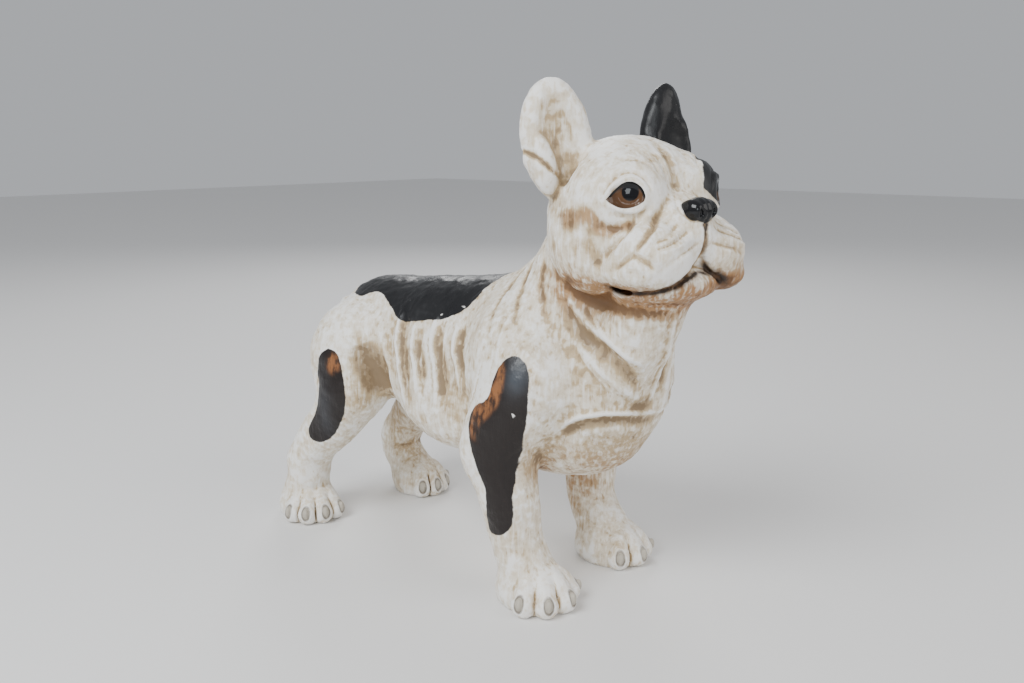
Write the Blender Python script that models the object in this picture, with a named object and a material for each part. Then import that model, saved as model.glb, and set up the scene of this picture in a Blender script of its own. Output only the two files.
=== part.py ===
"""A standing bulldog garden statue, cast in one piece and flat under its four paws.

The figure is modelled like clay. Rounded masses are laid down as primitives and remeshed into one
body. That body is then settled onto the blended, carved form: masses melt into each other, folds
are raised or sunk along drawn lines, and hollows are cut.

Its lengths are shares of the height, four hundred to the whole: x runs to the dog's right,
y forward to its nose and z up. The finished statue is turned to face -Y.
"""

import math

import bmesh
import bpy
import numpy as np
from mathutils import Euler, Matrix, Vector

# Driving dimensions, in metres
HEIGHT = 0.400
GRAIN = 0.0034

# How the statue is faceted
TRIANGLES = 9400
SHARES_HIGH = 400

# Stance, in shares of the height: right, forward
FRONT_FEET = {1: (55, 131), -1: (52, 132)}
WRISTS = {1: (58, 112), -1: (57, 103)}
HIND_FEET = {1: (59, -147), -1: (54, -112)}
HOCKS = {1: (60, -149), -1: (56, -142)}
HEAD_PIVOT = (8, 120)
HEAD_YAW = -12

# Paws: degrees turned out, degrees from toe to toe, and size
FRONT_PAWS = {1: (16, 42, 1.05), -1: (16, 42, 1.05)}
HIND_PAWS = {1: (34, 34, 1.05), -1: (10, 34, 0.92)}
PAINT = (0.78, 0.74, 0.67, 1)


def curve_through(points, per_span=6):
    """Points on a smooth curve through the given ones (Catmull-Rom)."""
    p = np.array(points, float)
    p = np.vstack([2 * p[0] - p[1], p, 2 * p[-1] - p[-2]])
    t = (np.arange(per_span) / per_span)[:, None]
    spans = []
    for a, b, c, d in zip(p, p[1:], p[2:], p[3:]):
        bend = 2 * a - 5 * b + 4 * c - d
        twist = 3 * (b - c) + d - a
        spans.append(b + (t * (c - a) + t**2 * bend + t**3 * twist) / 2)
    return np.vstack([*spans, p[-2]])


class Axes:
    """Axes that forms are given in. Mirrored ones give each form a twin at -x."""

    def __init__(self, pivot=(0, 0), yaw=0, side=0, mirrored=False):
        turn = Matrix.Translation((*pivot, 0)) @ Matrix.Rotation(math.radians(yaw), 4, "Z")
        sides = (1, -1) if mirrored else (side or 1,)
        self.matrices = [turn @ Matrix.Diagonal((x, 1, 1, 1)) for x in sides]
        self.mirrored = mirrored

    def local(self, points):
        inverse = np.array(self.matrices[0].inverted())
        q = points @ inverse[:3, :3].T + inverse[:3, 3]
        if self.mirrored:
            q[:, 0] = abs(q[:, 0])
        return q


class Ball:
    """An ellipsoid, turned by angles in degrees about x, y and z."""

    def __init__(self, centre, radii, turn=(0, 0, 0)):
        self.centre, self.radii = np.array(centre, float), np.array(radii, float)
        self.rotation = Euler([math.radians(a) for a in turn]).to_matrix()
        reach = abs(np.array(self.rotation)) @ self.radii
        self.low, self.high = self.centre - reach, self.centre + reach

    def balls(self):
        """Where a unit ball lies to fill the form."""
        return [Matrix.Translation(self.centre) @ self.rotation.to_4x4() @ Matrix.Diagonal((*self.radii, 1))]

    def gap(self, points):
        q = (points - self.centre) @ np.array(self.rotation)
        near = np.linalg.norm(q / self.radii, axis=1)
        steep = np.linalg.norm(q / self.radii**2, axis=1)
        return near * (near - 1) / np.maximum(steep, 1e-9)


class Limb:
    """A round rod along a smooth curve through points, with a radius at each."""

    def __init__(self, points, radii, per_span=5):
        self.spine = curve_through(np.column_stack([points, radii]), per_span)
        reach = self.spine[:, 3].max()
        self.low, self.high = self.spine[:, :3].min(0) - reach, self.spine[:, :3].max(0) + reach

    def balls(self):
        return [Matrix.Translation(centre) @ Matrix.Scale(radius, 4) for *centre, radius in self.spine]

    def gap(self, points):
        best = np.full(len(points), np.inf)
        for a, b in zip(self.spine, self.spine[1:]):
            along = b[:3] - a[:3]
            q = points - a[:3]
            t = np.clip(q @ along / (along @ along), 0, 1)
            off = np.linalg.norm(q - t[:, None] * along, axis=1)
            best = np.minimum(best, off - a[3] - t * (b[3] - a[3]))
        return best


class Stroke:
    """A rounded ridge along a path drawn in a view from outside, or a groove if its height is negative.

    Views and their paths: front (x, z), side (y, z), top (x, y), and quarter (across, z), which looks
    from between front and side, with across growing forward.
    """

    QUARTER = math.radians(38)
    SLANT, FACING = math.sin(QUARTER), math.cos(QUARTER)
    VIEWS = {
        "front": ((1, 0, 0), (0, 0, 1), (0, 1, 0)),
        "side": ((0, 1, 0), (0, 0, 1), (1, 0, 0)),
        "top": ((1, 0, 0), (0, 1, 0), (0, 0, 1)),
        "quarter": ((-FACING, SLANT, 0), (0, 0, 1), (SLANT, FACING, 0)),
    }
    OUTSIDE = 300.0

    def __init__(self, view, path, width, height):
        across, up, out = np.array(self.VIEWS[view], float)
        self.line = curve_through(path, 4) @ [across, up] + self.OUTSIDE * out
        self.out, self.width, self.height = out, width, height

    def relief(self, points):
        reach = 2.5 * self.width
        near = np.all((points > self.line.min(0) - reach) & (points < self.line.max(0) + reach), axis=1)
        at = np.flatnonzero(near)
        best, share = np.full(len(at), np.inf), np.zeros(len(at))
        for i, (a, b) in enumerate(zip(self.line, self.line[1:])):
            along = b - a
            q = points[at] - a
            t = np.clip(q @ along / max(along @ along, 1e-9), 0, 1)
            off = np.linalg.norm(q - t[:, None] * along, axis=1)
            share = np.where(off < best, (i + t) / (len(self.line) - 1), share)
            best = np.minimum(best, off)
        fade = np.sin(np.pi * share.clip(0.02, 0.98)) ** 0.6
        return at, self.height * fade * np.exp(-((best / self.width) ** 2))


class Clay:
    """The figure as a list of forms and strokes, each in its own axes."""

    FAR = 60.0

    def __init__(self):
        self.forms = []
        self.strokes = []
        self.axes = None

    def add(self, form, blend):
        self.forms.append((self.axes, 1, form, blend))

    def cut(self, form, blend):
        self.forms.append((self.axes, -1, form, blend))

    def draw(self, *stroke):
        self.strokes.append((self.axes, Stroke(*stroke)))

    def lay_strokes(self):
        """Brings each stroke's path from outside onto the forms, against its view's direction."""
        turns = [np.array(axes.matrices[0])[:3] for axes, _ in self.strokes]
        for _ in range(70):
            placed = zip(turns, self.strokes)
            lines = [stroke.line @ turn[:, :3].T + turn[:, 3] for turn, (_, stroke) in placed]
            gap = self.gap(np.vstack(lines), carved=False).clip(-2, 7)
            ends = np.cumsum([len(line) for line in lines])[:-1]
            for (_, stroke), step in zip(self.strokes, np.split(gap, ends)):
                stroke.line = stroke.line - stroke.out * step[:, None]

    def rough(self, grain):
        """The masses as primitives, remeshed into one body."""
        ball = bpy.data.meshes.new("ball")
        bm = bmesh.new()
        bmesh.ops.create_icosphere(bm, subdivisions=3, radius=1)
        bm.to_mesh(ball)
        bm.clear()
        for axes, sign, form, _ in self.forms:
            for place in form.balls() if sign > 0 else []:
                for matrix in axes.matrices:
                    mass = ball.copy()
                    mass.transform(matrix @ place)
                    if matrix.determinant() < 0:
                        mass.flip_normals()
                    bm.from_mesh(mass)
        mesh = bpy.data.meshes.new("rough")
        bm.to_mesh(mesh)
        bm.free()
        return modified(mesh, "REMESH", mode="VOXEL", voxel_size=grain)

    def gap(self, points, carved=True):
        """How far each point is outside the finished surface, less than 0 inside it."""
        total = np.full(len(points), self.FAR)
        seen, q = None, None
        for axes, sign, form, blend in self.forms:
            if axes is not seen:
                seen, q = axes, axes.local(points)
            margin = blend + 10
            at = np.flatnonzero(np.all((q > form.low - margin) & (q < form.high + margin), axis=1))
            new, old = form.gap(q[at]), sign * total[at]
            soft = np.maximum(blend - abs(new - old), 0) ** 2 / (4 * blend)
            total[at] = sign * (np.minimum(new, old) - soft)
        for axes, stroke in self.strokes if carved else []:
            if axes is not seen:
                seen, q = axes, axes.local(points)
            at, relief = stroke.relief(q)
            total[at] -= relief
        return total


def modified(mesh, kind, **settings):
    """The mesh as a modifier leaves it."""
    thing = bpy.data.objects.new("modified", mesh)
    bpy.context.scene.collection.objects.link(thing)
    modifier = thing.modifiers.new(kind.title(), kind)
    for name, value in settings.items():
        setattr(modifier, name, value)
    graph = bpy.context.evaluated_depsgraph_get()
    result = bpy.data.meshes.new_from_object(thing.evaluated_get(graph))
    bpy.data.objects.remove(thing)
    bpy.data.meshes.remove(mesh)
    return result


def coordinates(mesh):
    flat = np.empty(len(mesh.vertices) * 3)
    mesh.vertices.foreach_get("co", flat)
    return flat.reshape(-1, 3)


def settle(mesh, clay, times):
    """Moves each vertex along its normal until it lies on the clay's surface."""
    last, step, slope = None, None, 1.0
    for _ in range(times):
        points = coordinates(mesh)
        normals = np.empty(len(points) * 3)
        mesh.vertex_normals.foreach_get("vector", normals)
        gap = clay.gap(points)
        if last is not None:
            moved = abs(step) > 0.05
            slope = np.where(moved, (last - gap) / np.where(moved, step, 1), 1).clip(0.7, 4)
        last, step = gap, (gap / slope).clip(-6, 6)
        points -= normals.reshape(-1, 3) * step[:, None]
        mesh.vertices.foreach_set("co", points.ravel())
        mesh.update()
    return mesh


BODY = Axes(mirrored=True)
BOTH = Axes()
SIDES = {1: Axes(side=1), -1: Axes(side=-1)}
HEAD = Axes(pivot=HEAD_PIVOT, yaw=HEAD_YAW, mirrored=True)
HEAD_RIGHT = Axes(pivot=HEAD_PIVOT, yaw=HEAD_YAW, side=1)
HEAD_LEFT = Axes(pivot=HEAD_PIVOT, yaw=HEAD_YAW, side=-1)


def trunk(clay):
    clay.axes = BODY
    clay.add(Ball((0, 92, 168), (66, 88, 72), turn=(8, 0, 0)), 1)
    clay.add(Ball((0, 154, 178), (52, 48, 62)), 20)
    clay.add(Ball((0, 120, 132), (44, 59, 39)), 18)
    clay.add(Ball((32, 28, 135), (30, 56, 34)), 12)
    clay.add(Ball((0, 50, 206), (38, 56, 40), turn=(10, 0, 0)), 18)
    clay.add(Ball((0, -6, 190), (50, 90, 52)), 24)
    clay.add(Ball((0, 0, 158), (54, 90, 54)), 20)
    clay.add(Ball((0, -86, 186), (50, 58, 49), turn=(6, 0, 0)), 22)
    clay.add(Ball((42, 108, 188), (36, 46, 54), turn=(20, 0, 0)), 18)


def neck(clay):
    clay.axes = BOTH
    clay.add(Limb([(0, 92, 205), (3, 132, 240), (8, 156, 276)], [50, 48, 44]), 20)
    clay.add(Limb([(2, 158, 180), (5, 166, 215), (8, 168, 250)], [44, 42, 38]), 18)


def neck_folds(clay):
    """The throat's skin hangs in a keel between two upright folds, with slanting folds beside them."""
    clay.axes = BODY
    clay.draw("quarter", [(42, 272), (50, 259), (64, 248), (85, 243), (118, 241)], 5, -2.5)
    clay.draw("quarter", [(52, 244), (60, 223), (72, 213), (86, 200), (100, 184)], 6, -4)
    clay.draw("quarter", [(50, 240), (57, 226), (65, 207), (80, 190), (99, 176), (113, 166)], 4, 3)
    clay.draw("quarter", [(54, 246), (60, 237), (74, 222), (89, 209), (106, 204)], 3.5, 2.6)
    clay.draw("quarter", [(116, 244), (117, 217), (117, 194), (114, 170)], 2.5, 2.5)
    clay.draw("front", [(8, 244), (8.5, 216), (8, 180)], 3, -4.5)
    clay.draw("front", [(1, 240), (0, 210), (1, 180), (0, 156)], 3, 4)
    clay.draw("front", [(12, 172), (22, 168), (32, 172)], 7, -3)
    clay.draw("side", [(106, 272), (106, 250), (118, 222)], 4, -2)
    clay.draw("side", [(126, 278), (127, 254), (136, 230)], 4, -2)
    clay.draw("side", [(92, 262), (88, 240), (96, 208)], 4, -1.6)


def breast(clay):
    """The chest ends in a sharp shelf, and the brisket bulges under it between the forelegs."""
    clay.axes = BODY
    clay.draw("quarter", [(48, 145), (53, 152), (60, 158), (72, 162), (88, 163), (125, 159)], 2.6, 3.4)
    clay.draw("quarter", [(51, 139), (60, 149), (73, 154.5), (89, 156), (107, 154.5), (126, 153)], 5, -3.6)


def flanks(clay):
    clay.axes = BODY
    folds = (-30, 14, 216, 128), (-8, 12, 208, 146), (14, 15, 216, 140), (40, 13, 214, 160)
    for y, lean, top, low in folds:
        path = [(y - 1, top), (y, top - 22), (y + lean / 2, (top + low) / 2 - 6), (y + lean, low)]
        clay.draw("side", path, 2.6, 2.6)
        clay.draw("side", [(a + 8, z) for a, z in path], 6, -2.4)
    clay.draw("side", [(-66, 184), (-56, 160), (-52, 138)], 11, -8)
    clay.draw("side", [(-52, 196), (-41, 168), (-38, 132)], 3.5, 2.5)


def head(clay):
    clay.axes = HEAD
    clay.add(Ball((0, 60, 308), (56, 50, 50)), 16)
    clay.add(Ball((0, 68, 334), (44, 38, 25)), 14)
    clay.add(Ball((35, 83, 320), (25, 27, 25)), 16)
    clay.add(Ball((36, 70, 286), (26, 36, 32)), 14)
    clay.add(Ball((26, 113, 284.5), (28, 28.5, 22.5)), 10)
    clay.add(Ball((32, 108, 273), (22, 26, 12.5)), 8)
    clay.add(Ball((0, 113, 297), (20, 25, 20)), 10)
    clay.add(Ball((0, 108, 307), (25, 22, 15)), 10)
    clay.axes = HEAD_LEFT
    clay.add(Ball((38, 114, 267), (18, 22, 12)), 8)
    clay.axes = HEAD
    clay.add(Ball((0, 102, 261.5), (42, 35, 15.5), turn=(5, 0, 0)), 1.5)
    clay.add(Limb([(0, 88, 246), (0, 76, 222), (0, 60, 196)], [28, 29, 28]), 10)


def nose(clay):
    clay.axes = HEAD
    clay.add(Ball((0, 130, 313), (10.5, 9.5, 9)), 2)
    clay.add(Ball((7, 130, 313.5), (5.2, 9, 7)), 1.5)
    clay.cut(Ball((5.8, 139.5, 312), (2.2, 4.5, 3.2), turn=(0, 20, 0)), 1)
    clay.draw("front", [(0, 322), (0, 312), (0, 302)], 1.2, -1.6)
    clay.draw("front", [(0, 306), (0, 295), (0, 280)], 2.2, -3)


def eyes(clay):
    """Almond openings between lids, with a glossy ball set a little back in each."""
    clay.axes = HEAD
    clay.add(Ball((27, 91, 322.5), (25, 25, 24)), 8)
    clay.cut(Ball((45.5, 110.5, 323.4), (13.3, 4.5, 8.6), turn=(0, 0, -43)), 1)
    clay.add(Ball((27, 91, 322.5), (24, 24, 23)), 0.5)
    clay.draw("quarter", [(15, 319), (20, 328), (26, 332.5), (33, 335), (40, 333), (46, 325)], 1.4, 1.2)
    clay.draw("quarter", [(16, 320), (22, 316), (30, 313), (38, 313.5), (46, 320)], 1.4, 1)
    clay.draw("quarter", [(15, 322), (20, 331), (28, 337.5), (36, 338), (44, 333), (49, 324)], 1.5, -1.4)
    clay.draw("quarter", [(21, 312), (28, 309.5), (37, 310), (44, 314)], 1.5, -1)


def muzzle_folds(clay):
    """Creases run from beside the nose down round the flews to the mouth's corner."""
    clay.axes = HEAD
    clay.draw("quarter", [(61, 323), (54, 312), (48, 304), (43, 299), (39, 294), (34, 288)], 2.6, -4.2)
    clay.draw("quarter", [(53, 319), (45, 309), (38, 303), (32, 296), (26, 289), (16, 270)], 3, 2.4)
    clay.draw("quarter", [(46, 316), (37, 307), (30, 299), (24, 292), (17, 284), (9, 273)], 2.4, -2.4)
    clay.draw("quarter", [(23, 275), (28, 281), (34, 286), (41, 283), (49, 277)], 2.2, -2.6)
    clay.draw("quarter", [(10, 306), (18, 302), (28, 302), (36, 306)], 3, -1.5)
    clay.draw("quarter", [(74, 303), (66, 298), (56, 293), (47, 290)], 2, -1.4)
    clay.draw("quarter", [(80, 293), (73, 290), (65, 286), (56, 281)], 2, -1.3)
    clay.draw("quarter", [(67, 307), (60, 301), (53, 297), (46, 294)], 2, -1.3)
    clay.draw("quarter", [(8, 304), (9, 288), (18, 270)], 5, -1.8)


def mouth(clay):
    clay.axes = HEAD
    clay.draw("front", [(1, 284), (6, 277), (12, 271), (19, 266.5), (27, 263), (36, 261)], 1.9, -2.6)
    clay.draw("quarter", [(72, 271), (64, 266), (53, 262), (44, 260), (36, 259), (28, 260)], 1.9, -2.8)
    clay.cut(Ball((38, 100, 261), (9, 9, 3.4), turn=(0, 12, 35)), 2)


def brow(clay):
    clay.axes = HEAD
    clay.draw("front", [(0, 358), (0, 344), (0, 326)], 5, -2.2)
    clay.draw("front", [(11, 354), (8, 342), (10, 330)], 2.6, -0.7)
    clay.draw("front", [(21, 352), (17, 343), (21, 332)], 2.6, -0.6)
    clay.draw("quarter", [(8, 334), (20, 344), (36, 347), (50, 341)], 3, -0.7)


def ears(clay):
    """Broad upright ears, open to the front, each with a folded lobe at its outer base."""
    clay.axes = HEAD_RIGHT
    clay.add(Ball((48, 42, 358), (26, 12, 42), turn=(0, 10, -20)), 6)
    clay.cut(Ball((53, 54, 360), (17, 9, 33), turn=(0, 12, -20)), 5)
    clay.add(Ball((62, 46, 341), (8, 8, 19), turn=(0, 10, -20)), 6)
    clay.draw("quarter", [(-38, 352), (-24, 345), (-10, 334)], 2.2, -3.5)
    clay.axes = HEAD_LEFT
    clay.add(Ball((53, 44, 360), (18, 12, 40), turn=(0, 8, 4)), 6)
    clay.add(Ball((58, 52, 346), (18, 11, 30), turn=(0, 4, 4)), 8)
    clay.cut(Ball((56, 62, 356), (18, 9, 32), turn=(0, 6, 4)), 5)


TOES = (-1.5, -0.5, 0.5, 1.5)


def paw(clay, x, y, turned_out, spread, size):
    """A paw whose toes fan out round its front, each with a sunken nail."""
    clay.add(Ball((x, y - 5 * size, 9), (26 * size, 31 * size, 22)), 8)
    for toe in TOES:
        angle = math.radians(turned_out + toe * spread)
        ahead = np.array([math.sin(angle), math.cos(angle), 0]) * size
        centre = np.array([x, y, 0])
        knuckles = [centre + ahead * out + [0, 0, z] for out, z in ((-4, 29), (12, 22), (23, 9))]
        clay.add(Limb(knuckles, [7, 9, 10]), 2.5)
        lies = (0, 0, -math.degrees(angle))
        clay.cut(Ball(centre + ahead * 32.5 + [0, 0, 12], (4, 3, 6.5), turn=lies), 1)


def front_legs(clay):
    for side, (x, y) in FRONT_FEET.items():
        wrist_x, wrist_y = WRISTS[side]
        clay.axes = SIDES[side]
        clay.add(Limb([(54, 124, 182), (61, 104, 146), (63, 95, 122)], [32, 31, 28]), 14)
        shin = [(63, 97, 124), (62, wrist_y - 5, 84), (wrist_x, wrist_y, 48), (x, y - 10, 22)]
        clay.add(Limb(shin, [27, 24, 21, 22]), 10)
        paw(clay, x, y, *FRONT_PAWS[side])


def hind_legs(clay):
    for side, (x, y) in HIND_FEET.items():
        hock_x, hock_y = HOCKS[side]
        clay.axes = SIDES[side]
        clay.add(Ball((44, -99, 160), (32, 45, 52), turn=(-8, 0, 0)), 18)
        thigh = [(50, -92, 132), (54, hock_y + 38, 104), (hock_x, hock_y + 15, 78), (hock_x, hock_y, 56)]
        clay.add(Limb(thigh, [29, 25, 21, 19]), 12)
        clay.add(Limb([(hock_x, hock_y, 58), (hock_x, hock_y - 1, 42), (x, y - 12, 20)], [20, 20, 21]), 6)
        paw(clay, x, y, *HIND_PAWS[side])


def tail(clay):
    clay.axes = BOTH
    clay.add(Limb([(0, -142, 200), (-2, -155, 198), (-4, -165, 192)], [11, 9.5, 7]), 3)


def bulldog():
    clay = Clay()
    for body_work in (trunk, breast, flanks, neck, neck_folds, front_legs, hind_legs, tail):
        body_work(clay)
    for head_work in (head, nose, brow, eyes, muzzle_folds, mouth, ears):
        head_work(clay)
    clay.lay_strokes()
    return clay


def sculpted(clay, grain):
    """The clay's surface in shares of the height, evenly divided and closed."""
    mesh = clay.rough(max(grain, 3))
    for _ in range(3):
        mesh = modified(settle(mesh, clay, 1), "SMOOTH", factor=0.5, iterations=3)
    mesh = modified(mesh, "REMESH", mode="VOXEL", voxel_size=grain)
    for _ in range(3):
        mesh = modified(settle(mesh, clay, 1), "SMOOTH", factor=0.5, iterations=2)
    return settle(mesh, clay, 4)


def on_the_ground(mesh):
    """Cuts the paws flat, scales the figure to its height and turns it to face -Y."""
    bm = bmesh.new()
    bm.from_mesh(mesh)
    everything = bm.verts[:] + bm.edges[:] + bm.faces[:]
    cut = bmesh.ops.bisect_plane(bm, geom=everything, plane_no=(0, 0, -1), clear_outer=True)
    rims = [e for e in cut["geom_cut"] if isinstance(e, bmesh.types.BMEdge)]
    soles = bmesh.ops.edgeloop_fill(bm, edges=rims)["faces"]
    bmesh.ops.triangulate(bm, faces=soles)
    bm.to_mesh(mesh)
    bm.free()
    points = coordinates(mesh)
    low, high = points.min(axis=0), points.max(axis=0)
    home = Matrix.Translation((-(low[0] + high[0]) / 2, -(low[1] + high[1]) / 2, 0))
    size = Matrix.Scale(HEIGHT / high[2], 4)
    mesh.transform(Matrix.Rotation(math.pi, 4, "Z") @ size @ home)
    return mesh


def painted_resin():
    material = bpy.data.materials.new("painted_resin")
    material.use_nodes = True
    shader = material.node_tree.nodes["Principled BSDF"]
    shader.inputs["Base Color"].default_value = PAINT
    shader.inputs["Roughness"].default_value = 0.5
    shader.inputs["Metallic"].default_value = 0.0
    return material


def main():
    for old in list(bpy.data.objects):
        bpy.data.objects.remove(old)
    clay = bulldog()
    mesh = sculpted(clay, GRAIN * SHARES_HIGH / HEIGHT)
    mesh = modified(mesh, "DECIMATE", ratio=TRIANGLES / (2 * len(mesh.polygons)))
    mesh = on_the_ground(mesh)
    mesh.name = "bulldog"
    mesh.materials.append(painted_resin())
    mesh.shade_smooth()
    dog = bpy.data.objects.new("bulldog", mesh)
    bpy.context.scene.collection.objects.link(dog)


if __name__ == "__main__":
    main()
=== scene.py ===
"""A standing bulldog garden statue, cast and painted, shown on a pale floor.

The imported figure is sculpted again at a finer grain, with the folds of its face and coat, and
painted: white with an ochre wash, glossy black patches, and glossy eyes and nose.

Lengths of the sculpting are shares of the height, four hundred to the whole: x runs to the dog's
right, y forward to its nose and z up. The finished statue is turned to face -Y.
"""

import math

import bmesh
import bpy
import numpy as np
from mathutils import Euler, Matrix, Vector, noise


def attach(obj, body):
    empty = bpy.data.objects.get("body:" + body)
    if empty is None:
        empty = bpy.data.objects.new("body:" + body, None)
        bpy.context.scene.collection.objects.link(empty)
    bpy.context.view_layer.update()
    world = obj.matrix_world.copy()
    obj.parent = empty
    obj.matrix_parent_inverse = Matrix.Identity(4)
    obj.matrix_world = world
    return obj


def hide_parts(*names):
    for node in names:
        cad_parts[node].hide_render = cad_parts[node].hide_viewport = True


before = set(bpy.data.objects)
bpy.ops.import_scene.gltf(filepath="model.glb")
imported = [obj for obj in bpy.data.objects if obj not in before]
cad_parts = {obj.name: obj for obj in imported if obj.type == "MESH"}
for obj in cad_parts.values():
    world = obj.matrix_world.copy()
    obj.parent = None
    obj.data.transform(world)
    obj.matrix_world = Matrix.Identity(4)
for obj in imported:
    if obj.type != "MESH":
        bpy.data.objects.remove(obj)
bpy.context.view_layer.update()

HEIGHT = 0.400

# Stance, in shares of the height: right, forward
FRONT_FEET = {1: (55, 131), -1: (52, 132)}
WRISTS = {1: (58, 112), -1: (57, 103)}
HIND_FEET = {1: (59, -147), -1: (54, -112)}
HOCKS = {1: (60, -149), -1: (56, -142)}
HEAD_PIVOT = (8, 120)
HEAD_YAW = -12

# Paws: degrees turned out, degrees from toe to toe, and size
FRONT_PAWS = {1: (16, 42, 1.05), -1: (16, 42, 1.05)}
HIND_PAWS = {1: (34, 34, 1.05), -1: (10, 34, 0.92)}

# Where a toe's nail lies, out from the paw's middle and up
NAIL_OUT, NAIL_HIGH = 32.5, 12

# Places and radii on the head
EYEBALL = (27, 91, 322.5), (24, 24, 23)
NOSE = (0, 130, 313), (10.5, 9.5, 9)
NOSTRIL_WING = (7, 130, 313.5), (5.2, 9, 7)

# Paths on the head for strokes and for paint
NOSE_CREASE = [(61, 323), (54, 312), (48, 304), (43, 299), (39, 294), (34, 288)]
LIPS_IN_FRONT = [(1, 284), (6, 277), (12, 271), (19, 266.5), (27, 263), (36, 261)]
LIPS_TO_CORNER = [(76, 276), (70, 271), (62, 266.5), (53, 263), (44, 261), (36, 260), (26, 260)]
LOWER_LID = [(22, 313), (30, 311), (38, 311.5), (44, 314)]

# Fineness of the surface, in shares of the height, and its triangles
GRAIN = 1.65
TRIANGLES = 190000

# The distance inside a patch of paint, where that patch can't be
NOWHERE = -20.0


def curve_through(points, per_span):
    """Points on a smooth curve through the given ones (Catmull-Rom)."""
    p = np.array(points, float)
    p = np.vstack([2 * p[0] - p[1], p, 2 * p[-1] - p[-2]])
    t = (np.arange(per_span) / per_span)[:, None]
    spans = []
    for a, b, c, d in zip(p, p[1:], p[2:], p[3:]):
        bend = 2 * a - 5 * b + 4 * c - d
        twist = 3 * (b - c) + d - a
        spans.append(b + (t * (c - a) + t**2 * bend + t**3 * twist) / 2)
    return np.vstack([*spans, p[-2]])


def from_span(points, start, end):
    """Each point's share of the way along a straight span, and its distance from the span."""
    along = end - start
    off = points - start
    share = np.clip(off @ along / max(along @ along, 1e-9), 0, 1)
    return share, np.linalg.norm(off - share[:, None] * along, axis=1)


class Axes:
    """Axes that forms are given in. Mirrored ones give each form a twin at -x."""

    def __init__(self, pivot=(0, 0), yaw=0, side=0, mirrored=False):
        turn = Matrix.Translation((*pivot, 0)) @ Matrix.Rotation(math.radians(yaw), 4, "Z")
        sides = (1, -1) if mirrored else (side or 1,)
        self.matrices = [turn @ Matrix.Diagonal((x, 1, 1, 1)) for x in sides]
        self.mirrored = mirrored

    def local(self, points):
        inverse = np.array(self.matrices[0].inverted())
        q = points @ inverse[:3, :3].T + inverse[:3, 3]
        if self.mirrored:
            q[:, 0] = abs(q[:, 0])
        return q


class Ball:
    """An ellipsoid, turned by angles in degrees about x, y and z."""

    def __init__(self, centre, radii, turn=(0, 0, 0)):
        self.centre, self.radii = np.array(centre, float), np.array(radii, float)
        self.rotation = Euler([math.radians(a) for a in turn]).to_matrix()
        reach = abs(np.array(self.rotation)) @ self.radii
        self.low, self.high = self.centre - reach, self.centre + reach

    def balls(self):
        """Where a unit ball lies to fill the form."""
        return [Matrix.Translation(self.centre) @ self.rotation.to_4x4() @ Matrix.Diagonal((*self.radii, 1))]

    def gap(self, points):
        q = (points - self.centre) @ np.array(self.rotation)
        near = np.linalg.norm(q / self.radii, axis=1)
        steep = np.linalg.norm(q / self.radii**2, axis=1)
        return near * (near - 1) / np.maximum(steep, 1e-9)


class Limb:
    """A round rod along a smooth curve through points, with a radius at each."""

    def __init__(self, points, radii, per_span=5):
        self.spine = curve_through(np.column_stack([points, radii]), per_span)
        reach = self.spine[:, 3].max()
        self.low, self.high = self.spine[:, :3].min(0) - reach, self.spine[:, :3].max(0) + reach

    def balls(self):
        return [Matrix.Translation(centre) @ Matrix.Scale(radius, 4) for *centre, radius in self.spine]

    def gap(self, points):
        best = np.full(len(points), np.inf)
        for a, b in zip(self.spine, self.spine[1:]):
            share, off = from_span(points, a[:3], b[:3])
            best = np.minimum(best, off - a[3] - share * (b[3] - a[3]))
        return best


class Stroke:
    """A rounded ridge along a path drawn in a view from outside, or a groove if its height is negative.

    Views and their paths: front (x, z), side (y, z), top (x, y), and quarter (across, z), which looks
    from between front and side, with across growing forward.
    """

    QUARTER = math.radians(38)
    SLANT, FACING = math.sin(QUARTER), math.cos(QUARTER)
    VIEWS = {
        "front": ((1, 0, 0), (0, 0, 1), (0, 1, 0)),
        "side": ((0, 1, 0), (0, 0, 1), (1, 0, 0)),
        "top": ((1, 0, 0), (0, 1, 0), (0, 0, 1)),
        "quarter": ((-FACING, SLANT, 0), (0, 0, 1), (SLANT, FACING, 0)),
    }
    OUTSIDE = 300.0

    def __init__(self, view, path, width, height):
        across, up, out = np.array(self.VIEWS[view], float)
        self.line = curve_through(path, 4) @ [across, up] + self.OUTSIDE * out
        self.out, self.width, self.height = out, width, height

    def relief(self, points):
        reach = 2.5 * self.width
        near = np.all((points > self.line.min(0) - reach) & (points < self.line.max(0) + reach), axis=1)
        at = np.flatnonzero(near)
        best, share = np.full(len(at), np.inf), np.zeros(len(at))
        for i, (a, b) in enumerate(zip(self.line, self.line[1:])):
            t, off = from_span(points[at], a, b)
            share = np.where(off < best, (i + t) / (len(self.line) - 1), share)
            best = np.minimum(best, off)
        fade = np.sin(np.pi * share.clip(0.02, 0.98)) ** 0.6
        return at, self.height * fade * np.exp(-((best / self.width) ** 2))


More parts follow.
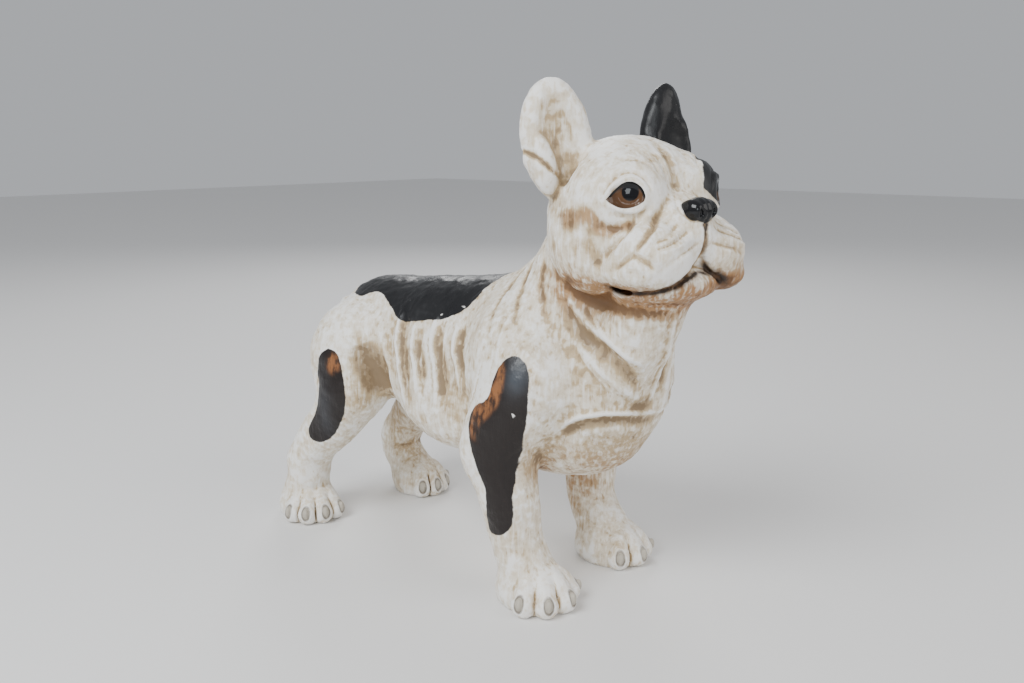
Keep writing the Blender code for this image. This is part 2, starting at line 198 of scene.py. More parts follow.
class Clay:
    """The figure as a list of forms and strokes, each in its own axes."""

    FAR = 60.0

    def __init__(self):
        self.forms = []
        self.strokes = []
        self.axes = None

    def add(self, form, blend):
        self.forms.append((self.axes, 1, form, blend))

    def cut(self, form, blend):
        self.forms.append((self.axes, -1, form, blend))

    def draw(self, view, *strokes):
        """Draws strokes in one view, each a path, a width and a height."""
        self.strokes += [(self.axes, Stroke(view, *stroke)) for stroke in strokes]

    def lay_strokes(self):
        """Brings each stroke's path from outside onto the forms, against its view's direction."""
        turns = [np.array(axes.matrices[0])[:3] for axes, _ in self.strokes]
        for _ in range(70):
            placed = zip(turns, self.strokes)
            lines = [stroke.line @ turn[:, :3].T + turn[:, 3] for turn, (_, stroke) in placed]
            gap = self.gap(np.vstack(lines)).clip(-2, 7)
            ends = np.cumsum([len(line) for line in lines])[:-1]
            for (_, stroke), step in zip(self.strokes, np.split(gap, ends)):
                stroke.line = stroke.line - stroke.out * step[:, None]

    def rough(self, grain):
        """The masses as primitives, remeshed into one body."""
        ball = bpy.data.meshes.new("ball")
        bm = bmesh.new()
        bmesh.ops.create_icosphere(bm, subdivisions=3, radius=1)
        bm.to_mesh(ball)
        bm.clear()
        for axes, sign, form, _ in self.forms:
            for place in form.balls() if sign > 0 else []:
                for matrix in axes.matrices:
                    mass = ball.copy()
                    mass.transform(matrix @ place)
                    if matrix.determinant() < 0:
                        mass.flip_normals()
                    bm.from_mesh(mass)
        mesh = bpy.data.meshes.new("rough")
        bm.to_mesh(mesh)
        bm.free()
        return modified(mesh, "REMESH", mode="VOXEL", voxel_size=grain)

    def gap(self, points):
        """How far each point is outside the bare forms, less than 0 inside them."""
        total = np.full(len(points), self.FAR)
        seen, q = None, None
        for axes, sign, form, blend in self.forms:
            if axes is not seen:
                seen, q = axes, axes.local(points)
            margin = blend + 10
            at = np.flatnonzero(np.all((q > form.low - margin) & (q < form.high + margin), axis=1))
            new, old = form.gap(q[at]), sign * total[at]
            soft = np.maximum(blend - abs(new - old), 0) ** 2 / (4 * blend)
            total[at] = sign * (np.minimum(new, old) - soft)
        return total


def linked(name, data):
    """A new object in the scene."""
    thing = bpy.data.objects.new(name, data)
    bpy.context.scene.collection.objects.link(thing)
    return thing


def modified(mesh, kind, **settings):
    """The mesh as a modifier leaves it."""
    thing = linked("modified", mesh)
    modifier = thing.modifiers.new(kind.title(), kind)
    for name, value in settings.items():
        setattr(modifier, name, value)
    graph = bpy.context.evaluated_depsgraph_get()
    result = bpy.data.meshes.new_from_object(thing.evaluated_get(graph))
    bpy.data.objects.remove(thing)
    bpy.data.meshes.remove(mesh)
    return result


def rows(items, name, width, kind=float):
    """One value of each of a mesh's items, as the rows of an array."""
    flat = np.empty(len(items) * width, kind)
    items.foreach_get(name, flat)
    return flat.reshape(-1, width)


def coordinates(mesh):
    return rows(mesh.vertices, "co", 3)


def neighbours(mesh):
    return rows(mesh.edges, "vertices", 2, np.int32)


def vertex_normals(mesh):
    return rows(mesh.vertex_normals, "vector", 3)


def moved(mesh, points):
    mesh.vertices.foreach_set("co", points.ravel())
    mesh.update()
    return mesh


def settle(mesh, clay, times):
    """Moves each vertex along its normal until it lies on the bare forms."""
    last, step, slope = None, None, 1.0
    for _ in range(times):
        points = coordinates(mesh)
        gap = clay.gap(points)
        if last is not None:
            far = abs(step) > 0.05
            slope = np.where(far, (last - gap) / np.where(far, step, 1), 1).clip(0.7, 4)
        last, step = gap, (gap / slope).clip(-6, 6)
        moved(mesh, points - vertex_normals(mesh) * step[:, None])
    return mesh


BODY = Axes(mirrored=True)
BOTH = Axes()
SIDES = {1: Axes(side=1), -1: Axes(side=-1)}
HEAD = Axes(pivot=HEAD_PIVOT, yaw=HEAD_YAW, mirrored=True)
HEAD_RIGHT = Axes(pivot=HEAD_PIVOT, yaw=HEAD_YAW, side=1)
HEAD_LEFT = Axes(pivot=HEAD_PIVOT, yaw=HEAD_YAW, side=-1)


def trunk(clay):
    clay.axes = BODY
    clay.add(Ball((0, 92, 168), (66, 88, 72), turn=(8, 0, 0)), 1)
    clay.add(Ball((0, 154, 178), (52, 48, 62)), 20)
    clay.add(Ball((0, 120, 132), (44, 59, 39)), 18)
    clay.add(Ball((32, 28, 135), (30, 56, 34)), 12)
    clay.add(Ball((0, 50, 206), (38, 56, 40), turn=(10, 0, 0)), 18)
    clay.add(Ball((0, -6, 190), (50, 90, 52)), 24)
    clay.add(Ball((0, 0, 158), (54, 90, 54)), 20)
    clay.add(Ball((0, -86, 186), (50, 58, 49), turn=(6, 0, 0)), 22)
    clay.add(Ball((42, 108, 188), (36, 46, 54), turn=(20, 0, 0)), 18)


def neck(clay):
    clay.axes = BOTH
    clay.add(Limb([(0, 92, 205), (3, 132, 240), (8, 156, 276)], [50, 48, 44]), 20)
    clay.add(Limb([(2, 158, 180), (5, 166, 215), (8, 168, 250)], [44, 42, 38]), 18)


def neck_folds(clay):
    """The throat's skin hangs in a keel between two upright folds, with slanting folds beside them."""
    clay.axes = BODY
    clay.draw(
        "quarter",
        ([(42, 272), (50, 259), (64, 248), (85, 243), (118, 241)], 5, -2.5),
        ([(52, 244), (60, 223), (72, 213), (86, 200), (100, 184)], 6, -4),
        ([(50, 240), (57, 226), (65, 207), (80, 190), (99, 176), (113, 166)], 4, 3),
        ([(54, 246), (60, 237), (74, 222), (89, 209), (106, 204)], 3.5, 2.6),
        ([(116, 244), (117, 217), (117, 194), (114, 170)], 2.5, 2.5),
    )
    clay.draw(
        "front",
        ([(8, 244), (8.5, 216), (8, 180)], 3, -4.5),
        ([(1, 240), (0, 210), (1, 180), (0, 156)], 3, 4),
        ([(12, 172), (22, 168), (32, 172)], 7, -3),
    )
    clay.draw(
        "side",
        ([(106, 272), (106, 250), (118, 222)], 4, -2),
        ([(126, 278), (127, 254), (136, 230)], 4, -2),
        ([(92, 262), (88, 240), (96, 208)], 4, -1.6),
    )


def breast(clay):
    """The chest ends in a sharp shelf, and the brisket bulges under it between the forelegs."""
    clay.axes = BODY
    clay.draw("quarter", ([(48, 145), (53, 152), (60, 158), (72, 162), (88, 163), (125, 159)], 2.6, 3.4))
    clay.draw("quarter", ([(51, 139), (60, 149), (73, 154.5), (89, 156), (107, 154.5), (126, 153)], 5, -3.6))


def hanging(y, lean, top, low):
    """The path of a fold of skin down the flank."""
    return [(y - 1, top), (y, top - 22), (y + lean / 2, (top + low) / 2 - 6), (y + lean, low)]


def flanks(clay):
    clay.axes = BODY
    for fold in (-30, 14, 216, 128), (-8, 12, 208, 146), (14, 15, 216, 140), (40, 13, 214, 160):
        path = hanging(*fold)
        clay.draw("side", (path, 2.6, 2.6))
        clay.draw("side", ([(a + 8, z) for a, z in path], 6, -2.4))
    clay.draw("side", ([(-66, 184), (-56, 160), (-52, 138)], 11, -8))
    clay.draw("side", ([(-52, 196), (-41, 168), (-38, 132)], 3.5, 2.5))


def head(clay):
    clay.axes = HEAD
    clay.add(Ball((0, 60, 308), (56, 50, 50)), 16)
    clay.add(Ball((0, 68, 334), (44, 38, 25)), 14)
    clay.add(Ball((35, 83, 320), (25, 27, 25)), 16)
    clay.add(Ball((36, 70, 286), (26, 36, 32)), 14)
    clay.add(Ball((26, 113, 284.5), (28, 28.5, 22.5)), 10)
    clay.add(Ball((32, 108, 273), (22, 26, 12.5)), 8)
    clay.add(Ball((0, 113, 297), (20, 25, 20)), 10)
    clay.add(Ball((0, 108, 307), (25, 22, 15)), 10)
    clay.axes = HEAD_LEFT
    clay.add(Ball((38, 114, 267), (18, 22, 12)), 8)
    clay.axes = HEAD
    clay.add(Ball((0, 102, 261.5), (42, 35, 15.5), turn=(5, 0, 0)), 1.5)
    clay.add(Limb([(0, 88, 246), (0, 76, 222), (0, 60, 196)], [28, 29, 28]), 10)


def nose(clay):
    clay.axes = HEAD
    clay.add(Ball(*NOSE), 2)
    clay.add(Ball(*NOSTRIL_WING), 1.5)
    clay.cut(Ball((5.8, 139.5, 312), (2.2, 4.5, 3.2), turn=(0, 20, 0)), 1)
    clay.draw("front", ([(0, 322), (0, 312), (0, 302)], 1.2, -1.6))
    clay.draw("front", ([(0, 306), (0, 295), (0, 280)], 2.2, -3))


def eyes(clay):
    """Almond openings between lids, with a glossy ball set a little back in each."""
    clay.axes = HEAD
    clay.add(Ball((27, 91, 322.5), (25, 25, 24)), 8)
    clay.cut(Ball((45.5, 110.5, 323.4), (13.3, 4.5, 8.6), turn=(0, 0, -43)), 1)
    clay.add(Ball(*EYEBALL), 0.5)
    clay.draw(
        "quarter",
        ([(15, 319), (20, 328), (26, 332.5), (33, 335), (40, 333), (46, 325)], 1.4, 1.2),
        ([(16, 320), (22, 316), (30, 313), (38, 313.5), (46, 320)], 1.4, 1),
        ([(15, 322), (20, 331), (28, 337.5), (36, 338), (44, 333), (49, 324)], 1.5, -1.4),
        ([(21, 312), (28, 309.5), (37, 310), (44, 314)], 1.5, -1),
    )


def muzzle_folds(clay):
    """Creases run from beside the nose down round the flews to the mouth's corner."""
    clay.axes = HEAD
    clay.draw(
        "quarter",
        (NOSE_CREASE, 2.6, -4.2),
        ([(53, 319), (45, 309), (38, 303), (32, 296), (26, 289), (16, 270)], 3, 2.4),
        ([(46, 316), (37, 307), (30, 299), (24, 292), (17, 284), (9, 273)], 2.4, -2.4),
        ([(23, 275), (28, 281), (34, 286), (41, 283), (49, 277)], 2.2, -2.6),
        ([(10, 306), (18, 302), (28, 302), (36, 306)], 3, -1.5),
        ([(74, 303), (66, 298), (56, 293), (47, 290)], 2, -1.4),
        ([(80, 293), (73, 290), (65, 286), (56, 281)], 2, -1.3),
        ([(67, 307), (60, 301), (53, 297), (46, 294)], 2, -1.3),
        ([(8, 304), (9, 288), (18, 270)], 5, -1.8),
    )


def mouth(clay):
    clay.axes = HEAD
    clay.draw("front", (LIPS_IN_FRONT, 1.9, -2.6))
    clay.draw("quarter", ([(72, 271), (64, 266), (53, 262), (44, 260), (36, 259), (28, 260)], 1.9, -2.8))
    clay.cut(Ball((38, 100, 261), (9, 9, 3.4), turn=(0, 12, 35)), 2)


def brow(clay):
    clay.axes = HEAD
    clay.draw(
        "front",
        ([(0, 358), (0, 344), (0, 326)], 5, -2.2),
        ([(11, 354), (8, 342), (10, 330)], 2.6, -0.7),
        ([(21, 352), (17, 343), (21, 332)], 2.6, -0.6),
    )
    clay.draw("quarter", ([(8, 334), (20, 344), (36, 347), (50, 341)], 3, -0.7))


def ears(clay):
    """Broad upright ears, open to the front, each with a folded lobe at its outer base."""
    clay.axes = HEAD_RIGHT
    clay.add(Ball((48, 42, 358), (26, 12, 42), turn=(0, 10, -20)), 6)
    clay.cut(Ball((53, 54, 360), (17, 9, 33), turn=(0, 12, -20)), 5)
    clay.add(Ball((62, 46, 341), (8, 8, 19), turn=(0, 10, -20)), 6)
    clay.draw("quarter", ([(-38, 352), (-24, 345), (-10, 334)], 2.2, -3.5))
    clay.axes = HEAD_LEFT
    clay.add(Ball((53, 44, 360), (18, 12, 40), turn=(0, 8, 4)), 6)
    clay.add(Ball((58, 52, 346), (18, 11, 30), turn=(0, 4, 4)), 8)
    clay.cut(Ball((56, 62, 356), (18, 9, 32), turn=(0, 6, 4)), 5)


TOES = (-1.5, -0.5, 0.5, 1.5)


def ahead_of(angle):
    """The level way that a toe points, turned outward by an angle in radians."""
    return np.array([math.sin(angle), math.cos(angle), 0])


def paw(clay, x, y, turned_out, spread, size):
    """A paw whose toes fan out round its front, each with a sunken nail."""
    clay.add(Ball((x, y - 5 * size, 9), (26 * size, 31 * size, 22)), 8)
    for toe in TOES:
        angle = math.radians(turned_out + toe * spread)
        ahead = ahead_of(angle) * size
        centre = np.array([x, y, 0])
        knuckles = [centre + ahead * out + [0, 0, z] for out, z in ((-4, 29), (12, 22), (23, 9))]
        clay.add(Limb(knuckles, [7, 9, 10]), 2.5)
        lies = (0, 0, -math.degrees(angle))
        clay.cut(Ball(centre + ahead * NAIL_OUT + [0, 0, NAIL_HIGH], (4, 3, 6.5), turn=lies), 1)


def front_legs(clay):
    for side, (x, y) in FRONT_FEET.items():
        wrist_x, wrist_y = WRISTS[side]
        clay.axes = SIDES[side]
        clay.add(Limb([(54, 124, 182), (61, 104, 146), (63, 95, 122)], [32, 31, 28]), 14)
        shin = [(63, 97, 124), (62, wrist_y - 5, 84), (wrist_x, wrist_y, 48), (x, y - 10, 22)]
        clay.add(Limb(shin, [27, 24, 21, 22]), 10)
        paw(clay, x, y, *FRONT_PAWS[side])


def hind_legs(clay):
    for side, (x, y) in HIND_FEET.items():
        hock_x, hock_y = HOCKS[side]
        clay.axes = SIDES[side]
        clay.add(Ball((44, -99, 160), (32, 45, 52), turn=(-8, 0, 0)), 18)
        thigh = [(50, -92, 132), (54, hock_y + 38, 104), (hock_x, hock_y + 15, 78), (hock_x, hock_y, 56)]
        clay.add(Limb(thigh, [29, 25, 21, 19]), 12)
        clay.add(Limb([(hock_x, hock_y, 58), (hock_x, hock_y - 1, 42), (x, y - 12, 20)], [20, 20, 21]), 6)
        paw(clay, x, y, *HIND_PAWS[side])


def tail(clay):
    clay.axes = BOTH
    clay.add(Limb([(0, -142, 200), (-2, -155, 198), (-4, -165, 192)], [11, 9.5, 7]), 3)


def bulldog():
    clay = Clay()
    for body_work in (trunk, breast, flanks, neck, neck_folds, front_legs, hind_legs, tail):
        body_work(clay)
    for fine_work in (nails, toe_clefts, fine_coat):
        fine_work(clay)
    for head_work in (head, nose, brow, eyes, muzzle_folds, mouth, ears, face_folds):
        head_work(clay)
    clay.lay_strokes()
    return clay


def sculpted(clay, grain):
    """The clay's surface in shares of the height, evenly divided and closed."""
    mesh = clay.rough(max(grain, 3))
    for _ in range(3):
        mesh = modified(settle(mesh, clay, 1), "SMOOTH", factor=0.5, iterations=3)
    mesh = modified(mesh, "REMESH", mode="VOXEL", voxel_size=grain)
    for _ in range(3):
        mesh = modified(settle(mesh, clay, 1), "SMOOTH", factor=0.5, iterations=2)
    return settle(mesh, clay, 4)


def on_the_ground(mesh):
    """Cuts the paws flat, scales the figure to its height and turns it to face -Y."""
    bm = bmesh.new()
    bm.from_mesh(mesh)
    everything = bm.verts[:] + bm.edges[:] + bm.faces[:]
    cut = bmesh.ops.bisect_plane(bm, geom=everything, plane_no=(0, 0, -1), clear_outer=True)
    rims = [e for e in cut["geom_cut"] if isinstance(e, bmesh.types.BMEdge)]
    soles = bmesh.ops.edgeloop_fill(bm, edges=rims)["faces"]
    bmesh.ops.triangulate(bm, faces=soles)
    bm.to_mesh(mesh)
    bm.free()
    points = coordinates(mesh)
    low, high = points.min(axis=0), points.max(axis=0)
    home = Matrix.Translation((-(low[0] + high[0]) / 2, -(low[1] + high[1]) / 2, 0))
    size = Matrix.Scale(HEIGHT / high[2], 4)
    mesh.transform(Matrix.Rotation(math.pi, 4, "Z") @ size @ home)
    return mesh


def fans():
    """Each paw's side, its middle on the ground, and its turn, spread and size."""
    for feet, paws in ((FRONT_FEET, FRONT_PAWS), (HIND_FEET, HIND_PAWS)):
        for side, (x, y) in feet.items():
            yield side, np.array([x, y, 0]), *paws[side]


def toe_nails():
    """Each nail's side, centre, the way its toe points, and its turn in degrees."""
    for side, middle, turned_out, spread, size in fans():
        for toe in TOES:
            angle = math.radians(turned_out + toe * spread)
            ahead = ahead_of(angle)
            centre = middle + [0, 0, NAIL_HIGH] + ahead * NAIL_OUT * size
            yield side, centre, ahead, (0, 0, -math.degrees(angle))


def face_folds(clay):
    """Finer folds of the face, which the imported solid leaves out."""
    clay.axes = HEAD
    clay.draw(
        "quarter",
        (NOSE_CREASE, 1.1, -1.3),
        ([(54, 309), (47, 300), (42, 294), (37, 289)], 2.2, 0.8),
        ([(36, 307), (31, 301), (25, 294), (19, 286), (15, 277)], 1.2, -0.9),
        ([(26, 293), (20, 286), (17, 278)], 1.1, -0.7),
        ([(24, 276), (29, 281), (34, 284.5), (40, 282), (47, 278)], 1.1, -1.1),
        ([(28, 275), (35, 279), (45, 274)], 2.4, 0.9),
        ([(45, 293), (51, 296), (58, 298), (66, 302)], 1.1, -0.9),
        ([(49, 291), (56, 293), (66, 297), (73, 301)], 1.1, -1.0),
        ([(66, 287), (72, 289), (80, 292)], 1.1, -0.8),
        ([(42, 296), (46, 300), (52, 306)], 1.1, -0.8),
        ([(50, 288), (58, 290), (66, 292.5), (74, 296)], 1.4, 0.7),
        ([(15, 322), (20, 330.5), (28, 337), (36, 337.5), (44, 332), (49, 324)], 0.9, -0.7),
        (LOWER_LID, 0.9, -0.6),
        ([(4, 317), (12, 309), (17, 305), (25, 302), (33, 305)], 2.2, -0.8),
        ([(65, 324), (65, 317), (68, 311), (76, 306)], 1.2, -0.9),
        ([(10, 326), (16, 338), (28, 345), (42, 345), (53, 335)], 2.2, -0.6),
    )
    clay.draw("top", ([(-30, 78), (-10, 84), (12, 80)], 2.4, -0.6))


def fine_coat(clay):
    """Thin ridges where the skin gathers on the flank, the chest and the throat."""
    clay.axes = BODY
    for fold in (-30, 14, 214, 134), (-8, 12, 206, 150), (14, 15, 214, 146), (40, 13, 212, 165):
        clay.draw("side", (hanging(*fold), 1.2, 1.1))
    clay.draw(
        "side",
        ([(-20, 196), (-18, 170), (-9, 146)], 1.2, 0.8),
        ([(4, 200), (3, 176), (12, 152)], 1.2, 0.7),
        ([(28, 202), (28, 180), (36, 158)], 1.2, 0.8),
    )
    clay.draw(
        "quarter",
        ([(52, 152), (60, 158.5), (72, 162.5), (88, 163.5), (106, 162), (125, 159.5)], 1.2, 1.0),
        ([(66, 246), (72, 228), (84, 212), (100, 203)], 1.4, 0.9),
        ([(58, 214), (70, 194), (86, 176)], 1.4, 0.8),
    )
    clay.draw("front", ([(24, 236), (25, 208), (22, 184)], 1.3, 0.9))
    clay.draw("front", ([(16, 240), (15, 214), (17, 190)], 1.2, -0.8))
    clay.draw("side", ([(112, 236), (108, 214), (114, 190)], 1.6, 0.8))


def nails(clay):
    """A rounded nail set in each toe's pit."""
    for side, centre, ahead, lies in toe_nails():
        clay.axes = SIDES[side]
        clay.add(Ball(centre - 1.7 * ahead, (2.7, 2.6, 5.0), turn=lies), 0.5)


def toe_clefts(clay):
    """Narrow clefts between the toes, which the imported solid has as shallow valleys."""
    for side, middle, turned_out, spread, size in fans():
        clay.axes = SIDES[side]
        for toe, after in zip(TOES, TOES[1:]):
            angle = turned_out + (toe + after) / 2 * spread
            centre = middle + [0, 0, 14] + ahead_of(math.radians(angle)) * 29 * size
            clay.cut(Ball(centre, (0.9, 9, 13), turn=(0, 0, -angle)), 2.2)


def divided(mesh, near):
    """The mesh with its faces near the given places divided in four."""
    bm = bmesh.new()
    bm.from_mesh(mesh)
    inside = near(coordinates(mesh))
    edges = [e for e in bm.edges if inside[e.verts[0].index] and inside[e.verts[1].index]]
    bmesh.ops.subdivide_edges(bm, edges=edges, cuts=1, use_grid_fill=True)
    bm.to_mesh(mesh)
    bm.free()
    return mesh


def near_detail(points):
    """The face and the toes."""
    q = HEAD.local(points)
    face = (q[:, 1] > 84) & (q[:, 2] > 252) & (q[:, 2] < 345)
    toes = points[:, 2] < 34
    ahead = np.where(points[:, 1] > 0, points[:, 1] > 128, points[:, 1] > -150)
    return face | (toes & ahead)


def lumps(points, size, stretch=(1, 1, 1)):
    """Soft lumps of a given size, drawn out along z where stretch is below 1 there."""
    return np.array([noise.noise(Vector(p)) for p in points * np.array(stretch) / size])


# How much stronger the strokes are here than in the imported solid
CRISPNESS = 1.2


def matt_places(points):
    """1 where the surface has grain, eased to 0 on the eyes, the nose and the nails."""
    q = HEAD.local(points)
    glossy = np.minimum(Ball(*EYEBALL).gap(q), Ball((0, 131, 313), (12, 10, 9)).gap(q))
    nail = np.full(len(points), np.inf)
    for side, centre, _, _ in toe_nails():
        nail = np.minimum(nail, np.linalg.norm(points * [side, 1, 1] - centre, axis=1))
    return eased(glossy, 0.5, 3) * eased(nail, 5, 9)


def height_in_clay(stroke):
    """How high a stroke stands, or deep it cuts, once its own path bends with the surface."""
    height = stroke.height
    for _ in range(30):
        height = 0.5 * (height + stroke.height * math.exp(-((height / stroke.width) ** 2)))
    return height


def modelled(mesh, clay):
    """Raises and cuts the strokes and the hand-worked grain along the bare form's normals."""
    points = coordinates(mesh)
    out = smoothed(vertex_normals(mesh), neighbours(mesh), 3)
    out /= np.linalg.norm(out, axis=1)[:, None]
    grain = 0.75 * lumps(points, 15) + 0.45 * lumps(points, 6.5)
    grain += 0.28 * lumps(points + 50, 2.6, (1, 1, 0.25)) + 0.16 * lumps(points + 90, 1.6, (1, 0.6, 0.5))
    relief = grain * matt_places(points)
    for axes, stroke in clay.strokes:
        at, height = stroke.relief(axes.local(points))
        relief[at] += CRISPNESS * height_in_clay(stroke) / stroke.height * height
    return moved(mesh, points + out * relief[:, None])


def smoothed(points, pairs, times):
    """Points drawn towards their neighbours' mean, a given number of times."""
    count = np.bincount(pairs.ravel(), minlength=len(points)).clip(1)
    a, b = pairs.T
    for _ in range(times):
        total = np.empty_like(points)
        for k in range(3):
            near = np.bincount(a, points[b, k], len(points)) + np.bincount(b, points[a, k], len(points))
            total[:, k] = near / count
        points = 0.5 * points + 0.5 * total
    return points


def within(outline, across, up, elsewhere):
    """The distance inside a smooth closed outline, negative outside it and NOWHERE elsewhere."""
    line = curve_through([*outline, outline[0]], 4)
    q = np.column_stack([across, up])
    best = np.full(len(q), np.inf)
    odd = np.zeros(len(q), bool)
    for a, b in zip(line, line[1:]):
        along = b - a
        best = np.minimum(best, from_span(q, a, b)[1])
        crosses = (a[1] > q[:, 1]) != (b[1] > q[:, 1])
        at = a[0] + (q[:, 1] - a[1]) * along[0] / (along[1] or 1e-9)
        odd ^= crosses & (q[:, 0] < at)
    return np.where(elsewhere, NOWHERE, np.where(odd, best, -best))


# The back's axis, and the arc length of a degree round it
SPINE_UP = 180
SHARES_A_DEGREE = 0.87


def round_the_back(points):
    """Arc length from the spine, to the dog's right, and the place along the back."""
    turn = np.arctan2(points[:, 0], points[:, 2] - SPINE_UP)
    return np.degrees(turn) * SHARES_A_DEGREE, points[:, 1]


# Outlines of the paint. Saddle: round the back, forward. Legs: forward, up. Face: across, up
SADDLE = [
    (34, -104), (38, -90), (33, -80), (31, -73), (33, -64), (42, -48), (51, -34), (53, -24), (51, -8),
    (49, 4), (47, 18), (41, 34), (33, 46), (20, 53), (0, 62), (-12, 80), (-26, 84), (-40, 66), (-46, 36),
    (-44, 4), (-50, -30), (-42, -58), (-32, -78), (-27, -94), (-10, -116), (8, -118), (24, -112),
]
FORELEG_PATCH = [
    (131, 204), (137, 199), (141, 190), (141, 178), (138, 160), (132, 140), (126, 120), (124, 97), (125, 79),
    (122, 68), (115, 61), (104, 60), (102, 68), (103, 78), (105, 95), (102, 108), (99, 120), (93, 136),
    (89, 150), (91, 158), (97, 164), (105, 168), (109, 174), (111, 186), (117, 198), (124, 204),
]
HIND_PATCH = [
    (-94, 177), (-84, 173), (-79, 160), (-74, 139), (-76, 124), (-82, 113), (-96, 94), (-108, 86), (-117, 87),
    (-122, 93), (-121, 101), (-113, 113), (-108, 133), (-110, 154), (-105, 169),
]
EYE_PATCH = [
    (62, 352), (44, 348), (33, 345), (25, 339), (21, 333), (19, 327), (23, 322), (32, 316), (45, 308),
    (60, 302), (74, 301), (90, 308), (102, 320), (110, 336), (112, 350), (90, 358),
]
ALMOND = [
    (17.5, 320.5), (20.5, 324), (24, 327.5), (28, 331), (33, 332.3), (37.5, 331), (41.5, 327.5), (43.5, 322),
    (42, 319.3), (37, 316.3), (31, 315), (25.5, 315.8), (20.5, 318.3),
]
PUPIL = (33.5, 325.3)
CHEEK_STAIN = [
    (-10, 308), (-5, 313), (1, 312), (5, 315), (10, 312), (16, 306), (20, 303), (27, 304), (33, 306),
    (35, 303.5), (28, 300.5), (18, 297), (12, 299), (7, 305), (1, 304), (-7, 301),
]


def blobs(points, places):
    """Soft patches of paint: each has a centre, a radius and a strength, which may be less than 0."""
    total = np.zeros(len(points))
    for centre, radius, strength in places:
        off = np.linalg.norm((points - centre) / radius, axis=1)
        total += strength * np.exp(-(off**2))
    return total


def eased(value, low, high):
    share = np.clip((value - low) / (high - low), 0, 1)
    return share * share * (3 - 2 * share)


def beside(points, line):
    """How far each point is from a smooth line through the given places."""
    path = curve_through(line, 3)
    best = np.full(len(points), np.inf)
    for a, b in zip(path, path[1:]):
        best = np.minimum(best, from_span(points, a, b)[1])
    return best


# The dark line of the lips and of the cleft below the nose, on the head: right, forward, up
LIP_LINE = [
    (38, 100, 260), (40, 107, 259), (37, 113, 259), (33, 120, 260), (29, 125, 261), (24, 129, 263),
    (18, 132, 266), (10, 133, 269), (2, 132, 272.5), (-4, 131, 276.5), (-5, 132, 280), (-3, 134.5, 286),
    (-1.5, 136, 292), (0, 136, 298), (1.5, 136, 304),
]
FAR_LIP = [(-5, 132, 279), (-9, 135, 278.5), (-14, 135, 275), (-21, 133, 269)]


def laid(clay, axes, *drawn):
    """Lines of paint drawn on the form, as strokes are."""
    sheet = Clay()
    sheet.forms = clay.forms
    sheet.axes = axes
    for strokes in drawn:
        sheet.draw(*strokes)
    sheet.lay_strokes()
    return [stroke for _, stroke in sheet.strokes]


def line_of(points, strokes):
    """How strongly the drawn lines colour each point."""
    total = np.zeros(len(points))
    for stroke in strokes:
        at, relief = stroke.relief(points)
        total[at] = np.maximum(total[at], relief)
    return total


def relief_fields(clay, points, normals, pairs):
    """How deep each point lies in a crease, in a broad hollow and in a groove."""
    fine = smoothed(points, pairs, 3)
    broad = smoothed(fine, pairs, 40)
    groove = np.zeros(len(points))
    for axes, stroke in clay.strokes:
        at, relief = stroke.relief(axes.local(points))
        groove[at] = np.maximum(groove[at], -relief)
    return {
        "crease": ((fine - points) * normals).sum(axis=1),
        "hollow": ((broad - points) * normals).sum(axis=1),
        "groove": groove,
    }


def black_places(clay, points):
    """The saddle, the left ear and the patch round the left eye."""
    right = HEAD_RIGHT.local(points)
    z = points[:, 2]
    saddle = within(SADDLE, *round_the_back(points), (z < 195) | (abs(points[:, 1]) > 130))
    off_the_ear = np.full(len(points), 30.0)
    for axes, sign, form, _ in clay.forms:
        if axes is HEAD_LEFT and sign > 0 and form.high[2] > 350:
            off_the_ear = np.minimum(off_the_ear, form.gap(axes.local(points)))
    ear = 9 - off_the_ear
    ear[(right[:, 0] > -24) | (z < 322)] = NOWHERE
    turn = np.degrees(np.arctan2(-right[:, 0], right[:, 1] - 60))
    eye_patch = within(EYE_PATCH, turn * 0.9, z, (right[:, 0] > -12) | (z < 290))
    return np.maximum.reduce([saddle, ear, eye_patch])


def dark_places(points):
    """The patches on the right foreleg and the right thigh."""
    x, y, z = points.T
    return np.maximum(within(FORELEG_PATCH, y, z, x < 55), within(HIND_PATCH, y, z, x < 50))


def nail_places(points):
    nail = np.full(len(points), NOWHERE)
    for side, centre, ahead, _ in toe_nails():
        off = points * [side, 1, 1] - centre
        along = off @ ahead
        flat = off - along[:, None] * ahead
        inside = 4 - 4 * np.hypot(np.hypot(flat[:, 0], flat[:, 1]) / 4.0, off[:, 2] / 6.4)
        inside[abs(along) > 7] = NOWHERE
        nail = np.maximum(nail, inside)
    return nail


def nose_places(q):
    nose = 0.8 - np.minimum(Ball(*NOSE).gap(q), Ball(*NOSTRIL_WING).gap(q))
    nose[q[:, 1] < 123] = NOWHERE
    return nose


def lip_line(clay, q):
    """How dark the mouth is: its slit and the cleft below the nose, with painted shade in its corners."""
    lips = laid(
        clay, HEAD,
        ("front", (LIPS_IN_FRONT, 3.2, 1.1), ([(0, 305), (0, 297), (0, 289), (1, 281)], 2.4, 0.9)),
        ("quarter", (LIPS_TO_CORNER, 3.6, 1.1)),
    )
    # The dark blob at each corner is painted shade in the mouth's corner.
    corner = np.linalg.norm((q - [39, 99, 261]) / [10, 10, 4.6], axis=1)
    off_the_line = np.minimum(beside(q, LIP_LINE), beside(q, FAR_LIP))
    parts = line_of(q, lips), 1.3 * np.exp(-(corner**2)), 1.0 * np.exp(-((off_the_line / 1.8) ** 2))
    return np.maximum.reduce(parts)


def lid_lines(clay, q):
    upper = [(15, 319), (20, 330.5), (28, 337), (36, 337.5), (44, 332), (49, 324)]
    return line_of(q, laid(clay, HEAD, ("quarter", (upper, 1.3, 0.55), (LOWER_LID, 1.1, 0.35))))


